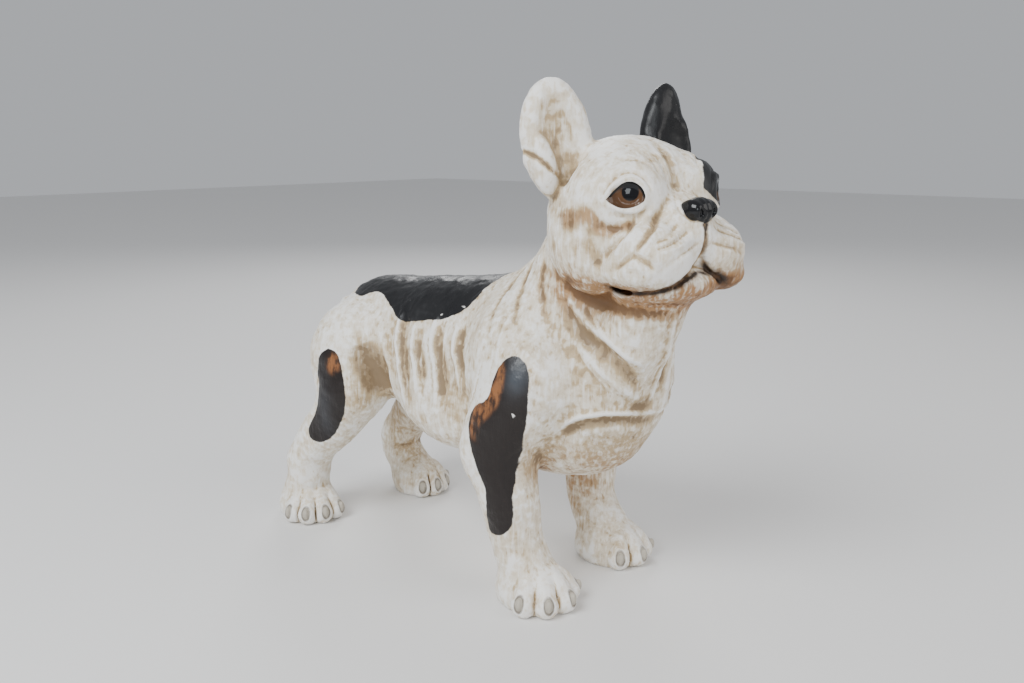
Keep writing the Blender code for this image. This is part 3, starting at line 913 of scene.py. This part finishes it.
def paint_fields(clay, points, normals, pairs):
    """What is painted where: distances inside patches, and amounts of wash."""
    y, z = points[:, 1], points[:, 2]
    q = HEAD.local(points)
    right = HEAD_RIGHT.local(points)
    across = q[:, 1] * Stroke.SLANT - q[:, 0] * Stroke.FACING
    stain = within(CHEEK_STAIN, across, z, (q[:, 1] < 30) | (right[:, 0] < 20))
    # Under the jaw: tan wash with painted shade, and a redness that is painted warm reflected light.
    tan_and_shade_under_jaw = eased(z, 274, 262) * eased(z, 222, 254) * eased(y, 105, 160)
    wash = 0.50 + 0.75 * eased(stain, -3.5, 1) + 0.60 * tan_and_shade_under_jaw
    redness_and_warm_reflection = 0.85 * tan_and_shade_under_jaw + 0.6 * eased(stain, -2, 1)
    return relief_fields(clay, points, normals, pairs) | {
        "black": black_places(clay, points),
        "patch": dark_places(points),
        "nose": nose_places(q),
        "eye": within(ALMOND, across, z, (q[:, 1] < 88) | (q[:, 0] < 24)),
        "eye_across": across - PUPIL[0],
        "eye_up": z - PUPIL[1],
        "nail": nail_places(points),
        "lip": lip_line(clay, q),
        "lid": lid_lines(clay, q),
        "wash": wash + blobs(points, BODY_WASH_AND_SHADE) + blobs(right, HEAD_WASH_SHADE_AND_HIGHLIGHT),
        "redness_and_warm_reflection": np.clip(redness_and_warm_reflection + blobs(points, BODY_REDNESS_AND_WARM_LIGHT) + blobs(right, HEAD_REDNESS_AND_WARM_LIGHT), 0, 1),
        "rub": blobs(points, RUBS),
        "blue": blobs(points, PAINTED_REFLECTIONS),
        "chip": blobs(points, CHIPS),
    }


# Where the wash is stronger or weaker, on the body and on the head: centre, radius and strength. Some entries
# also paint shade or a highlight, as noted
BODY_WASH_AND_SHADE = [
    # The second entry here, under the chest, is tan wash with painted shade.
    ((30, 188, 196), (56, 48, 44), 0.22), ((16, 165, 122), (52, 56, 28), 0.52),
    # The second entry here, along the belly, is tan wash with painted shade.
    ((62, 8, 160), (34, 52, 36), 0.12), ((40, 10, 110), (60, 80, 14), 0.25),
    ((62, -56, 160), (22, 15, 34), 0.55), ((66, -64, 128), (20, 16, 16), 0.3),
    ((70, 46, 186), (20, 14, 40), 0.28), ((60, -100, 195), (50, 46, 36), -0.16),
    ((64, 128, 96), (14, 16, 34), 0.30), ((84, 100, 190), (20, 22, 30), -0.08),
    # The second entry here, on the far hind leg, is tan wash with painted shade.
    ((-42, 98, 80), (22, 22, 46), 0.70), ((-44, -128, 80), (30, 30, 50), 0.5),
    ((60, -150, 60), (24, 24, 30), -0.06), ((58, 140, 20), (34, 40, 18), -0.08),
    ((59, -140, 18), (34, 40, 18), -0.05), ((-62, 8, 160), (34, 52, 36), 0.12),
    ((-62, -56, 160), (22, 15, 34), 0.5), ((52, 150, 232), (26, 26, 30), -0.06),
    ((0, -150, 172), (34, 20, 36), 0.35), ((30, -120, 110), (16, 30, 44), 0.35),
    ((34, 100, 90), (14, 24, 40), 0.35),
]
HEAD_WASH_SHADE_AND_HIGHLIGHT = [
    # The second entry here, less wash on the cheek's bulge, is a painted highlight.
    ((20, 70, 350), (60, 60, 24), -0.12), ((56, 66, 288), (14, 22, 18), -0.16),
    ((60, 58, 272), (16, 24, 12), 0.30), ((55, 50, 354), (16, 10, 26), 0.22),
    ((66, 46, 342), (10, 10, 12), 0.25), ((60, 52, 300), (14, 12, 26), 0.22),
    # The second entry here, under the far flew, is brown wash with painted shade.
    ((36, 126, 276), (22, 20, 16), -0.14), ((-36, 122, 268), (24, 24, 12), 0.7),
    # The second entry here, under the jaw, is tan wash with painted shade.
    ((20, 120, 300), (30, 20, 14), -0.06), ((0, 100, 255), (50, 50, 12), 0.22),
    ((30, 100, 340), (22, 20, 10), 0.08),
]
# Where the wash is redder; under the chest, the belly, the jaw and the far flew this is partly painted warm
# reflected light
BODY_REDNESS_AND_WARM_LIGHT = [
    # The first entry here, under the chest, is partly painted warm reflected light.
    ((0, 150, 106), (60, 50, 22), 0.8), ((-42, 98, 80), (22, 22, 46), 1.0),
    ((34, 104, 84), (14, 26, 44), 0.5), ((-40, -110, 90), (34, 34, 60), 0.25),
    # This entry, along the belly, is partly painted warm reflected light.
    ((40, 10, 106), (50, 80, 12), 0.3),
]
HEAD_REDNESS_AND_WARM_LIGHT = [
    # Both entries here, under the far flew and under the jaw, are partly painted warm reflected light.
    ((-36, 124, 266), (24, 24, 14), 0.9), ((0, 110, 252), (50, 50, 12), 0.3),
    ((60, 58, 274), (16, 24, 12), 0.5),
]
# Where the dark patches are rubbed through to brown, carry a painted blue reflection, and are chipped
RUBS = [
    ((86, 118, 188), (20, 5, 12), 1.2), ((88, 112, 172), (20, 7, 9), 1.2),
    ((90, 102, 160), (20, 9, 8), 1.1), ((91, 96, 148), (20, 6, 12), 0.9),
    ((75, -88, 164), (20, 9, 11), 1.1), ((75, -96, 118), (24, 18, 14), 0.3),
    ((88, 104, 126), (20, 6, 20), 0.3),
]
PAINTED_REFLECTIONS = [((84, 132, 190), (20, 9, 13), 1.0), ((80, -98, 120), (20, 8, 30), 0.35)]
CHIPS = [
    ((43, 18, 216), (1.2, 3, 1.2), 0.9), ((39, 38, 225), (1.3, 3.4, 1.3), 0.9),
    ((84, 130, 160), (4, 1.2, 1.6), 1.6),
]


class Nodes:
    """Short names for the nodes of one material."""

    def __init__(self, name):
        self.material = bpy.data.materials.new(name)
        self.material.use_nodes = True
        self.tree = self.material.node_tree
        self.shader = self.tree.nodes["Principled BSDF"]

    def put(self, node, socket, value):
        if isinstance(value, bpy.types.NodeSocket):
            self.tree.links.new(value, node.inputs[socket])
        else:
            node.inputs[socket].default_value = value

    def attribute(self, name):
        node = self.tree.nodes.new("ShaderNodeAttribute")
        node.attribute_name = name
        return node.outputs["Fac"]

    def math(self, operation, a, b=0.0):
        node = self.tree.nodes.new("ShaderNodeMath")
        node.operation = operation
        self.put(node, 0, a)
        self.put(node, 1, b)
        return node.outputs[0]

    def ease(self, value, low, high, to_low=0.0, to_high=1.0):
        """The value's place from low to high, eased at both ends."""
        node = self.tree.nodes.new("ShaderNodeMapRange")
        node.interpolation_type = "SMOOTHSTEP"
        self.put(node, "Value", value)
        self.put(node, "From Min", low)
        self.put(node, "From Max", high)
        self.put(node, "To Min", to_low)
        self.put(node, "To Max", to_high)
        return node.outputs[0]

    def mix(self, share, a, b):
        node = self.tree.nodes.new("ShaderNodeMix")
        node.data_type = "RGBA"
        self.put(node, "Factor", share)
        self.put(node, 6, a)
        self.put(node, 7, b)
        return node.outputs[2]

    def blend(self, share, a, b):
        node = self.tree.nodes.new("ShaderNodeMix")
        self.put(node, "Factor", share)
        self.put(node, 2, a)
        self.put(node, 3, b)
        return node.outputs[0]

    def times(self, a, b):
        return self.math("MULTIPLY", a, b)

    def plus(self, a, b):
        return self.math("ADD", a, b)

    def about(self, value, amount):
        """A texture's value about its middle, times an amount."""
        return self.times(self.math("SUBTRACT", value, 0.5), amount)

    def noise(self, scale, detail, stretch=(1, 1, 1), turn=(0, 0, 0), roughness=0.55):
        place = self.tree.nodes.new("ShaderNodeTexCoord").outputs["Object"]
        mapping = self.tree.nodes.new("ShaderNodeMapping")
        self.put(mapping, "Vector", place)
        mapping.inputs["Scale"].default_value = stretch
        mapping.inputs["Rotation"].default_value = turn
        node = self.tree.nodes.new("ShaderNodeTexNoise")
        self.put(node, "Vector", mapping.outputs[0])
        self.put(node, "Scale", scale)
        self.put(node, "Detail", detail)
        self.put(node, "Roughness", roughness)
        return node.outputs[0]


WHITE = (0.88, 0.86, 0.82, 1)
CREAM = (0.72, 0.64, 0.51, 1)
TAN = (0.47, 0.345, 0.195, 1)
UMBER = (0.20, 0.135, 0.075, 1)
RUST = (0.35, 0.17, 0.055, 1)
DARK_RUST = (0.12, 0.052, 0.018, 1)
BLACK = (0.008, 0.008, 0.009, 1)
SCUFF = (0.16, 0.16, 0.17, 1)
BROWN_BLACK = (0.013, 0.009, 0.008, 1)
PAINTED_REFLECTION_BLUE = (0.060, 0.068, 0.080, 1)
RUBBED = (0.25, 0.10, 0.036, 1)
NOSE_BLACK = (0.006, 0.006, 0.007, 1)
IRIS = (0.09, 0.042, 0.019, 1)
IRIS_RIM = (0.05, 0.026, 0.014, 1)
IRIS_SHADE = (0.012, 0.008, 0.007, 1)
PUPIL_BLACK = (0.004, 0.004, 0.005, 1)
LID_LINE_AND_SHADOW_BLACK = (0.004, 0.004, 0.004, 1)
NAIL = (0.46, 0.42, 0.35, 1)
NAIL_RIM = (0.10, 0.075, 0.05, 1)
LINE = (0.022, 0.013, 0.008, 1)
LID = (0.13, 0.10, 0.08, 1)


class Textures:
    """The noises that the paint shares."""

    def __init__(self, n):
        self.cloud = n.noise(26, 5)
        self.fleck = n.noise(120, 6, roughness=0.65)
        self.strokes = n.noise(150, 5, stretch=(1.2, 1.2, 0.35), turn=(0.25, 0.15, 0))
        cross = n.noise(170, 5, stretch=(1.2, 0.35, 1.2), turn=(0.7, 0, 0.3))
        self.broken = n.plus(n.times(self.strokes, 0.6), n.times(cross, 0.4))
        self.hairs = n.noise(300, 3, stretch=(1.4, 1.4, 0.13), turn=(0.35, 0.2, 0.4))


def washed_white(n, t):
    """White under an ochre wash, which gathers in folds and is brushed off the ridges."""
    wash = n.attribute("wash")
    gathers = ("crease", 0.02, 0.22, 0.55), ("hollow", 0.2, 3.0, 0.45), ("groove", 0.25, 1.9, 0.6)
    for name, low, high, amount in gathers:
        wash = n.plus(wash, n.ease(n.attribute(name), low, high, 0, amount))
    wash = n.math("SUBTRACT", wash, n.ease(n.attribute("crease"), -0.06, -0.32, 0, 0.45))
    for texture, amount in ((t.broken, 1.4), (t.cloud, 1.5), (t.fleck, 1.2)):
        wash = n.plus(wash, n.about(texture, amount))
    # The redness is partly painted warm reflected light on the undersides.
    redness_and_warm_reflection = n.attribute("redness_and_warm_reflection")
    tan, umber = n.mix(redness_and_warm_reflection, TAN, RUST), n.mix(redness_and_warm_reflection, UMBER, DARK_RUST)
    colour = n.mix(n.ease(wash, 0.12, 0.62), WHITE, CREAM)
    colour = n.mix(n.ease(wash, 0.50, 1.12, 0, 0.95), colour, tan)
    colour = n.mix(n.ease(wash, 1.10, 1.8, 0, 0.85), colour, umber)
    colour = n.mix(n.ease(n.attribute("groove"), 1.2, 2.8, 0, 0.35), colour, umber)
    brushed = n.times(n.ease(t.hairs, 0.50, 0.64, 0, 0.5), n.ease(wash, 1.8, 0.6))
    return n.mix(brushed, colour, WHITE)


def with_nails(n, t, colour):
    nail = n.attribute("nail")
    colour = n.mix(n.times(n.ease(nail, -1.8, -0.9), 0.5), colour, WHITE)
    colour = n.mix(n.ease(nail, -0.1, 0.6), colour, NAIL)
    rim = n.times(n.ease(nail, -0.8, 0.0), n.ease(nail, 1.1, 0.3))
    return n.mix(n.times(rim, n.ease(t.fleck, 0.35, 0.6, 0.3, 0.8)), colour, NAIL_RIM)


def with_lids_and_lips(n, t, colour):
    colour = n.mix(n.ease(n.attribute("lid"), 0.15, 0.5, 0, 0.75), colour, LID)
    lip = n.plus(n.attribute("lip"), n.about(t.fleck, 1.1))
    colour = n.mix(n.ease(lip, 0.12, 0.5, 0, 0.55), colour, DARK_RUST)
    return n.mix(n.ease(lip, 0.40, 0.95, 0, 0.95), colour, LINE)


def scuffed_black(n, t):
    """The saddle's and the left ear's black, with scuffs and small chips down to the white."""
    chips = n.math("MAXIMUM", n.ease(n.noise(260, 3), 0.745, 0.77), n.ease(n.attribute("chip"), 0.35, 0.6))
    scuffs = n.ease(n.times(t.broken, t.cloud), 0.30, 0.44, 0, 0.09)
    return n.mix(n.times(chips, 0.85), n.mix(scuffs, BLACK, SCUFF), WHITE)


def rubbed_black(n, t):
    """The leg patches' brown black, with a painted blue reflection where it shines, and rubbed through to
    brown.
    """
    # A painted blue-grey reflection of the sky on the patches.
    painted_sheen = n.times(n.attribute("blue"), n.ease(t.cloud, 0.3, 0.6, 0.5, 1))
    worn = n.ease(n.plus(t.strokes, n.times(t.fleck, 0.6)), 0.68, 0.92, 0.1, 1)
    rubbed = n.times(n.ease(n.attribute("rub"), 0.25, 0.9), worn)
    colour = n.mix(rubbed, n.mix(painted_sheen, BROWN_BLACK, PAINTED_REFLECTION_BLUE), RUBBED)
    return n.mix(n.ease(n.attribute("chip"), 0.35, 0.6, 0, 0.9), colour, WHITE)


def iris(n):
    """Brown with a painted shadow of the upper lid over its top, a dark rim, a black pupil, and a dark line
    under the upper lid that is partly painted shadow.
    """
    up, across = n.attribute("eye_up"), n.attribute("eye_across")
    out = n.math("SQRT", n.plus(n.math("POWER", up, 2), n.math("POWER", across, 2)))
    # The top of the iris darkens to a painted shadow of the upper lid.
    colour = n.mix(n.ease(up, -1.0, 4.0), IRIS, IRIS_SHADE)
    colour = n.mix(n.times(n.ease(out, 7.5, 11), 0.6), colour, IRIS_RIM)
    colour = n.mix(n.ease(out, 5.9, 5.1), colour, PUPIL_BLACK)
    # A black line under the upper lid, partly lid line and partly painted shadow of the lid.
    lid_line_and_shadow = n.times(n.ease(n.attribute("eye"), 2.0, 1.2), n.ease(up, -5.0, -2.0))
    return n.mix(lid_line_and_shadow, colour, LID_LINE_AND_SHADOW_BLACK)


def paint():
    n = Nodes("painted_resin")
    t = Textures(n)
    black = n.ease(n.plus(n.attribute("black"), n.about(t.fleck, 3.0)), -0.4, 0.4)
    patch = n.ease(n.plus(n.attribute("patch"), n.about(t.fleck, 2.0)), -0.4, 0.4)
    nose = n.ease(n.attribute("nose"), -0.3, 0.5)
    eye = n.ease(n.attribute("eye"), -0.2, 0.2)

    colour = with_lids_and_lips(n, t, with_nails(n, t, washed_white(n, t)))
    colour = n.mix(black, colour, scuffed_black(n, t))
    colour = n.mix(patch, colour, rubbed_black(n, t))
    colour = n.mix(nose, colour, NOSE_BLACK)
    n.put(n.shader, "Base Color", n.mix(eye, colour, iris(n)))

    rough = n.ease(t.fleck, 0.35, 0.7, 0.42, 0.62)
    rough = n.blend(black, rough, n.ease(t.cloud, 0.35, 0.65, 0.26, 0.42))
    rough = n.blend(patch, rough, n.ease(t.fleck, 0.35, 0.65, 0.28, 0.42))
    rough = n.blend(nose, rough, 0.14)
    n.put(n.shader, "Roughness", n.blend(eye, rough, 0.05))
    n.put(n.shader, "Specular IOR Level", 0.34)

    grain = n.plus(n.times(n.noise(420, 4), 0.4), n.plus(t.broken, n.times(t.hairs, 0.5)))
    smooth = n.math("MAXIMUM", n.math("MAXIMUM", eye, nose), n.times(black, 0.6))
    bump = n.tree.nodes.new("ShaderNodeBump")
    n.put(bump, "Strength", 0.45)
    n.put(bump, "Distance", 0.0012)
    n.put(bump, "Height", n.blend(smooth, grain, 0.9))
    n.put(n.shader, "Normal", bump.outputs[0])
    return n.material


def statue():
    clay = bulldog()
    mesh = sculpted(clay, GRAIN)
    mesh = divided(mesh, near_detail)
    mesh = modified(settle(mesh, clay, 2), "SMOOTH", factor=0.4, iterations=1)
    mesh = modelled(settle(mesh, clay, 2), clay)
    mesh = modified(mesh, "TRIANGULATE")
    mesh = modified(mesh, "DECIMATE", ratio=min(1, TRIANGLES / len(mesh.polygons)))
    fields = paint_fields(clay, coordinates(mesh), vertex_normals(mesh), neighbours(mesh))
    for name, values in fields.items():
        mesh.attributes.new(name, "FLOAT", "POINT").data.foreach_set("value", values.astype(np.float32))
    mesh = on_the_ground(mesh)
    mesh.name = "bulldog_cast"
    mesh.materials.clear()
    mesh.materials.append(paint())
    mesh.shade_smooth()
    return linked("bulldog_cast", mesh)


dog = statue()
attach(dog, "root")
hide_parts("bulldog")


# Camera at the photograph's viewing angle
IMAGE_WIDTH = 1024
FOCAL_PIXELS = 900
SENSOR = 36.0
CAMERA_PLACE = (-0.5704, -0.4954, 0.357)
CAMERA_TURN = (1.35263, 0, -0.874042)
camera = linked("camera", bpy.data.cameras.new("camera"))
camera.data.sensor_width = SENSOR
camera.data.lens = FOCAL_PIXELS * SENSOR / IMAGE_WIDTH
camera.location = CAMERA_PLACE
camera.rotation_euler = CAMERA_TURN
bpy.context.scene.camera = camera


# The floor lies just under the soles, so that the two don't flicker
FLOOR_REACH = 6
FLOOR_DROP = 0.0005
PALE = (0.78, 0.77, 0.76, 1)


def floor():
    mesh = bpy.data.meshes.new("floor")
    bm = bmesh.new()
    bmesh.ops.create_grid(bm, x_segments=1, y_segments=1, size=FLOOR_REACH)
    bm.to_mesh(mesh)
    bm.free()
    n = Nodes("floor")
    n.put(n.shader, "Base Color", PALE)
    n.put(n.shader, "Roughness", 0.7)
    mesh.materials.append(n.material)
    plane = linked("floor", mesh)
    plane.location.z = -FLOOR_DROP


def area_light(name, place, size, power, colour=(1, 1, 1), at=(0, 0, HEIGHT / 2)):
    """A rectangle of light of a given width and height in metres and power in watts."""
    light = bpy.data.lights.new(name, "AREA")
    light.shape = "RECTANGLE"
    light.size, light.size_y = size
    light.energy = power
    light.color = colour
    lamp = linked(name, light)
    lamp.location = place
    lamp.rotation_euler = (Vector(at) - Vector(place)).to_track_quat("-Z", "Y").to_euler()


floor()
area_light("window", (-1.5, 0.0, 1.5), (1.0, 1.0), 42, (0.95, 0.98, 1.0))
area_light("room", (0.4, -1.9, 1.2), (1.6, 1.6), 18, (1.0, 0.97, 0.94))
area_light("rim", (1.3, 1.2, 1.3), (0.8, 0.8), 12)
area_light("pane", (-1.25, -0.96, 0.70), (0.30, 0.42), 3, (0.90, 0.96, 1.0), at=(-0.07, -0.18, 0.33))
world = bpy.data.worlds.new("studio")
world.use_nodes = True
background = world.node_tree.nodes["Background"]
background.inputs["Color"].default_value = (0.62, 0.64, 0.67, 1)
background.inputs["Strength"].default_value = 0.75
bpy.context.scene.world = world
